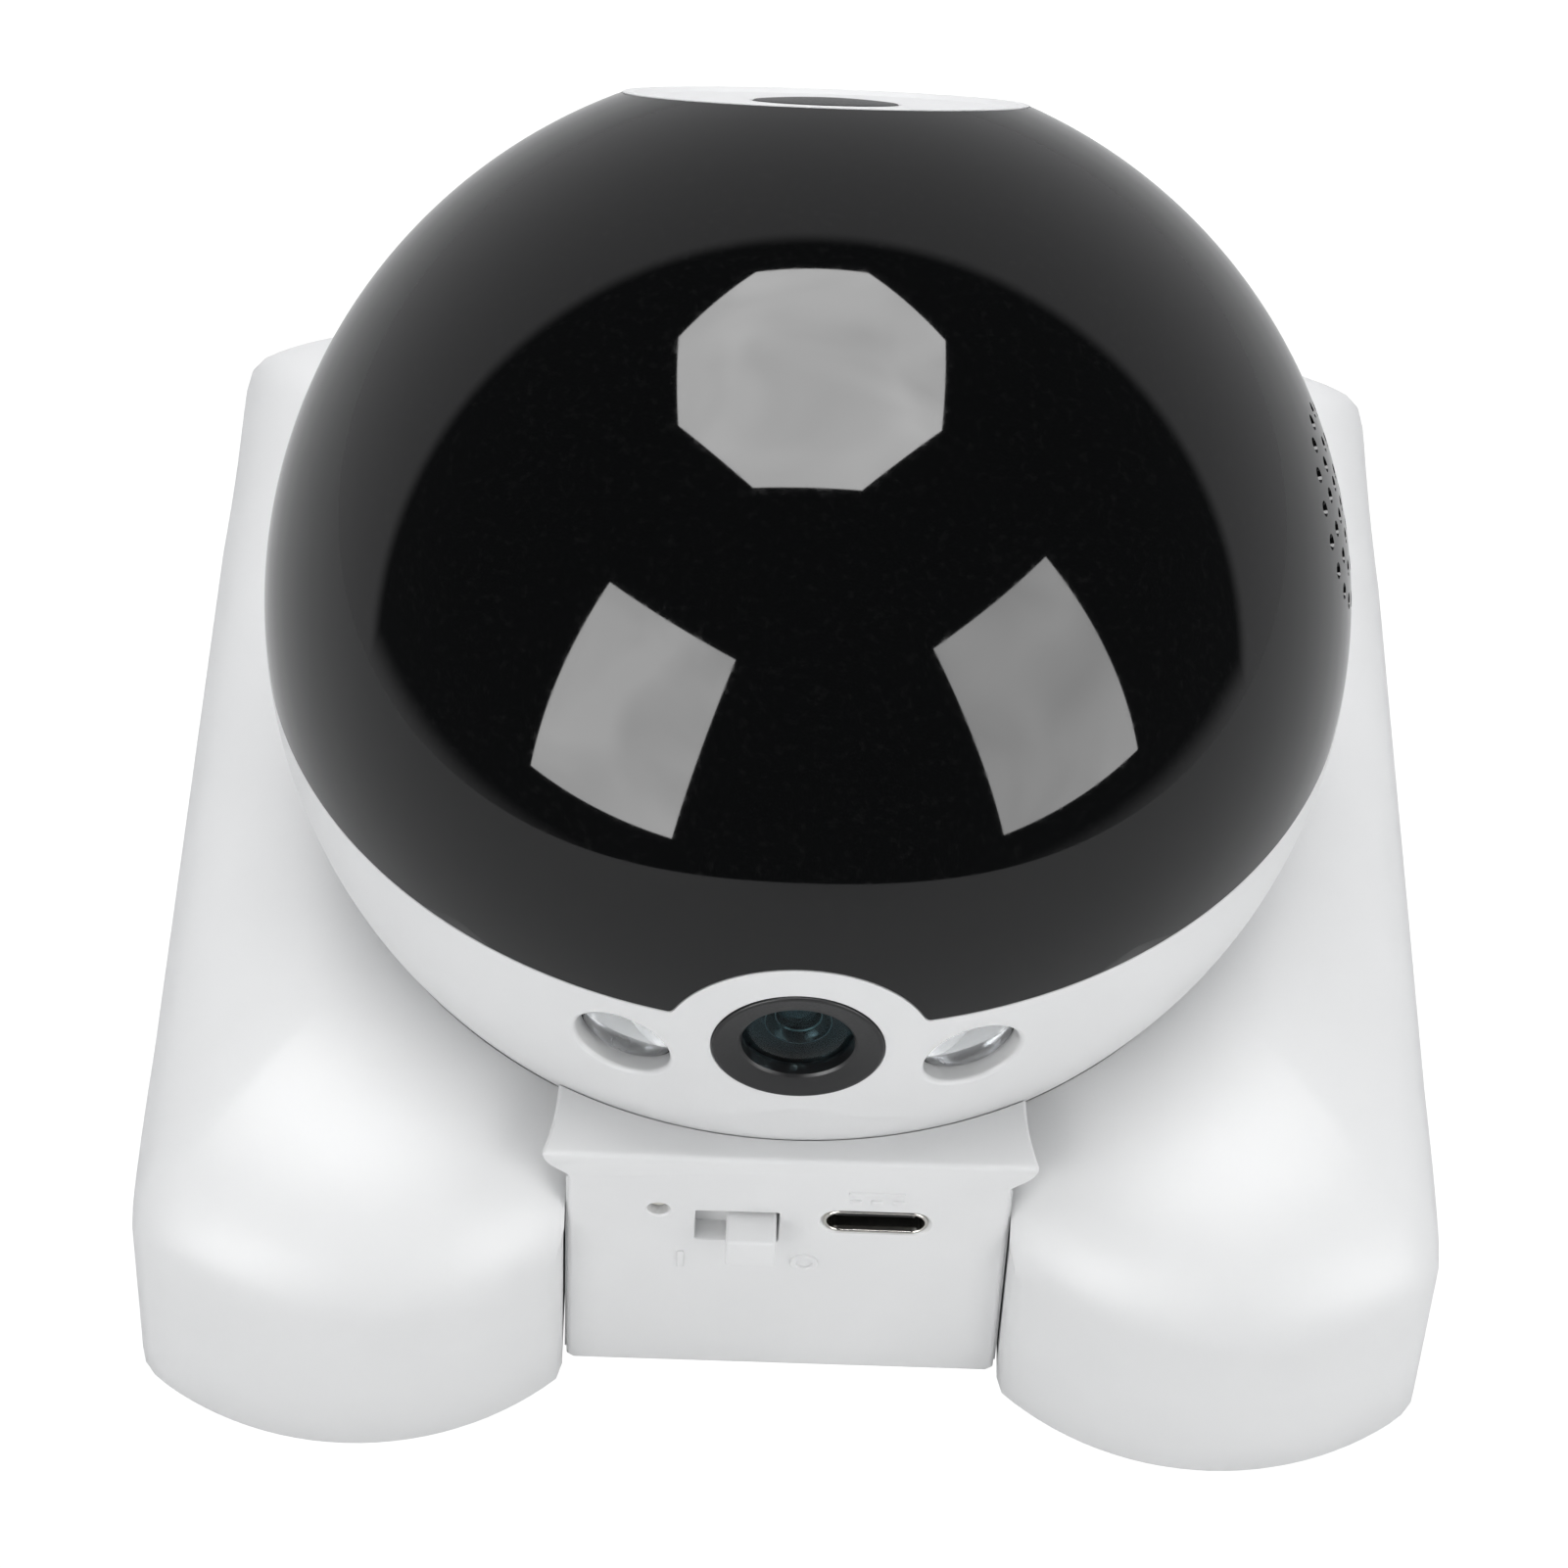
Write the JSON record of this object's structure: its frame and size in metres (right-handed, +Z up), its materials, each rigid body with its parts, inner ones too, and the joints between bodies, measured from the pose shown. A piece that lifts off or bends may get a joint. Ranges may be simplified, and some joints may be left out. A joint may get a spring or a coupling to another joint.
{
  "type": "security camera",
  "caption": "Indoor security camera: a turning ball head with lens, spot lamps and speaker on a base with two rounded feet, charging port and power switch.",
  "frame": {"origin": "on the floor, directly under the centre of the ball head", "axes": "+Z up, the camera looks along -Y, +X to the right of a viewer in front of it"},
  "size_m": [0.1116, 0.1078, 0.0984],
  "materials": {
    "white_shell": "fine satin moulding",
    "black_gloss": "piano gloss",
    "black_satin": "satin",
    "lens_metal": "black anodised",
    "lens_glass": "coated glass",
    "lamp_lens": "clear moulded lens",
    "lamp_reflector": "bright plated",
    "aluminium_board": "satin",
    "circuit_board": "solder mask",
    "natural_plastic": "natural acetal",
    "steel": "zinc plated",
    "speaker_black": "satin",
    "foam": "foam",
    "cell_wrap": "shrink wrap",
    "rubber": "soft rubber"
  },
  "bodies": {
    "base": {"base_plate": "white_shell", "base_screws": "steel", "battery_left": "cell_wrap", "battery_right": "cell_wrap", "cell_contacts_left": "steel", "cell_contacts_right": "steel", "centre_block": "white_shell", "foot_left": "white_shell", "foot_right": "white_shell", "motor_screws": "steel", "pan_bush": "natural_plastic", "pan_motor": "steel", "power_board": "circuit_board", "reset_switch": "black_satin", "rubber_pads": "rubber", "switch_body": "black_satin", "usb_core": "black_satin", "usb_shell": "steel"},
    "head": {"lower_shell": "white_shell", "top_dome": "black_gloss", "back_disc": "white_shell", "button_board": "circuit_board", "lens_ring": "black_satin", "lens_barrel": "lens_metal", "lens_glass": "lens_glass", "lens_rear_glass": "lens_glass", "lens_holder": "black_satin", "sensor_board": "circuit_board", "lamp_lens_left": "lamp_lens", "lamp_lens_right": "lamp_lens", "lamp_cup_left": "lamp_reflector", "lamp_cup_right": "lamp_reflector", "lamp_board_left": "aluminium_board", "lamp_board_right": "aluminium_board", "head_frame": "natural_plastic", "head_screws": "steel", "main_board": "circuit_board", "wifi_antenna": "circuit_board", "microphone": "steel", "speaker": "speaker_black", "speaker_gasket": "foam", "pan_hub": "natural_plastic", "hub_screws": "steel", "hub_clip": "steel", "pan_gear": "natural_plastic"},
    "call_button": {"call_button": "black_gloss"},
    "power_knob": {"switch_knob": "white_shell"},
    "reset_stem": {"reset_plunger": "natural_plastic"},
    "pinion": {"motor_pinion": "natural_plastic"}
  },
  "joints": [
    {"name": "head_pan", "type": "hinge", "parent": "base", "child": "head", "pos_m": [0, 0, 0.0276], "axis": [0, 0, 1], "range_deg": [-170, 170]},
    {"name": "pinion_spin", "type": "hinge", "parent": "base", "child": "pinion", "pos_m": [0, 0.0192, 0.0175], "axis": [0, 0, 1], "range_deg": [-515, 515]},
    {"name": "call_press", "type": "slide", "parent": "head", "child": "call_button", "axis": [0, -0.7071, -0.7071], "range_m": [0, 0.0006], "stiffness_N_per_m": 1500, "springref_m": -0.0004},
    {"name": "power_slide", "type": "slide", "parent": "base", "child": "power_knob", "axis": [-1, 0, 0], "range_m": [0, 0.0024]},
    {"name": "reset_press", "type": "slide", "parent": "base", "child": "reset_stem", "axis": [0, 1, 0], "range_m": [0, 0.0003], "stiffness_N_per_m": 2000, "springref_m": -0.0002}
  ],
  "couplings": [
    {"joint": "pinion_spin", "follows": "head_pan", "ratio": -3}
  ]
}
